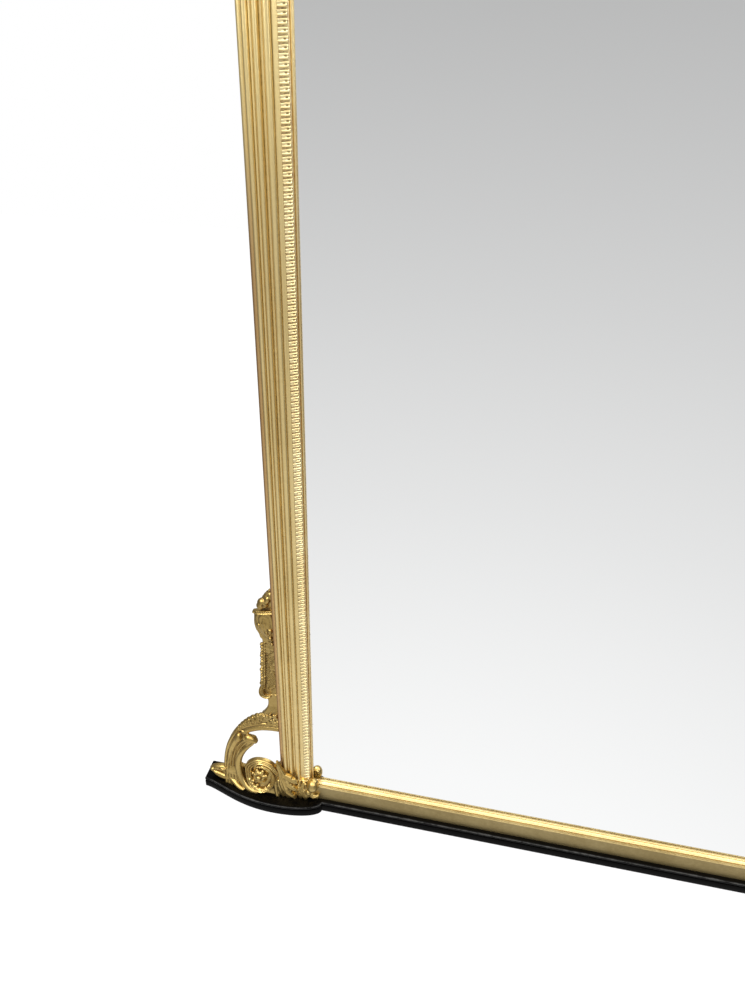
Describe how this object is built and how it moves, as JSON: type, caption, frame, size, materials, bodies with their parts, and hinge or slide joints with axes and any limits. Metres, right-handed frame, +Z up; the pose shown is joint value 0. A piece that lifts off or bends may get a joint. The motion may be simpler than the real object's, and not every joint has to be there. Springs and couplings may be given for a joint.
{
  "type": "overmantel mirror",
  "caption": "Tall overmantel mirror in a gilt reeded frame with rounded top corners, a carved crest and scroll brackets, on an ebonised plinth with bowed end blocks.",
  "frame": {"origin": "middle of the underside of the plinth's centre board, where the mirror stands on a shelf", "axes": "+X to the right seen from the front, +Y back towards the wall, +Z up"},
  "size_m": [1.8, 0.095, 2.088],
  "materials": {
    "gilt": "water-gilded carved wood with gold leaf, rubbed and toned",
    "gilt_composition": "gilded composition ornament with darker hollows",
    "ebonised": "ebonised and polished, lightly scratched",
    "silvered_glass": "silvered plate glass",
    "pine": "bare aged pine",
    "iron": "dull slotted screws",
    "brass": "aged brass"
  },
  "bodies": {
    "mirror_frame": {"plinth_centre": "ebonised", "plinth_end_left": "ebonised", "plinth_end_right": "ebonised", "plinth_dowels": "pine", "plinth_screws": "iron", "bottom_rail": "gilt", "stile_left": "gilt", "stile_right": "gilt", "corner_left": "gilt", "corner_right": "gilt", "top_rail": "gilt", "frame_dowels": "pine", "slip_bottom": "gilt", "slip_left": "gilt", "slip_right": "gilt", "slip_corner_left": "gilt", "slip_corner_right": "gilt", "slip_top": "gilt", "egg_strip_left": "gilt_composition", "egg_strip_right": "gilt_composition", "egg_strip_corner_left": "gilt_composition", "egg_strip_corner_right": "gilt_composition", "egg_strip_top": "gilt_composition", "mirror_plate": "silvered_glass", "setting_blocks": "pine", "glazing_blocks": "pine", "backboard_1": "pine", "backboard_2": "pine", "backboard_3": "pine", "backboard_4": "pine", "backboard_5": "pine", "backboard_screws": "iron", "batten_lower": "pine", "batten_upper": "pine", "batten_screws": "iron", "hanger_strap_left": "brass", "hanger_strap_right": "brass", "hanger_screws": "brass", "scroll_bracket_left": "gilt", "scroll_bracket_right": "gilt", "bracket_console_left": "gilt", "bracket_console_right": "gilt", "bracket_rosette_left": "gilt", "bracket_rosette_right": "gilt", "bracket_leaf_left": "gilt", "bracket_leaf_right": "gilt", "foot_ornament_left": "gilt", "foot_ornament_right": "gilt", "crest_cartouche": "gilt", "crest_cabochon": "gilt", "crest_plume": "gilt", "crest_scroll_left": "gilt", "crest_scroll_right": "gilt", "crest_batten": "pine", "crest_screws": "iron"},
    "ring_left": {"hanger_ring_left": "brass"},
    "ring_right": {"hanger_ring_right": "brass"}
  },
  "joints": [
    {"name": "ring_left_swing", "type": "hinge", "parent": "mirror_frame", "child": "ring_left", "pos_m": [-0.6754, 0.02568, 1.6], "axis": [1, 0, 0], "range_deg": [0, 170]},
    {"name": "ring_right_swing", "type": "hinge", "parent": "mirror_frame", "child": "ring_right", "pos_m": [0.6754, 0.02568, 1.6], "axis": [1, 0, 0], "range_deg": [0, 170]}
  ]
}
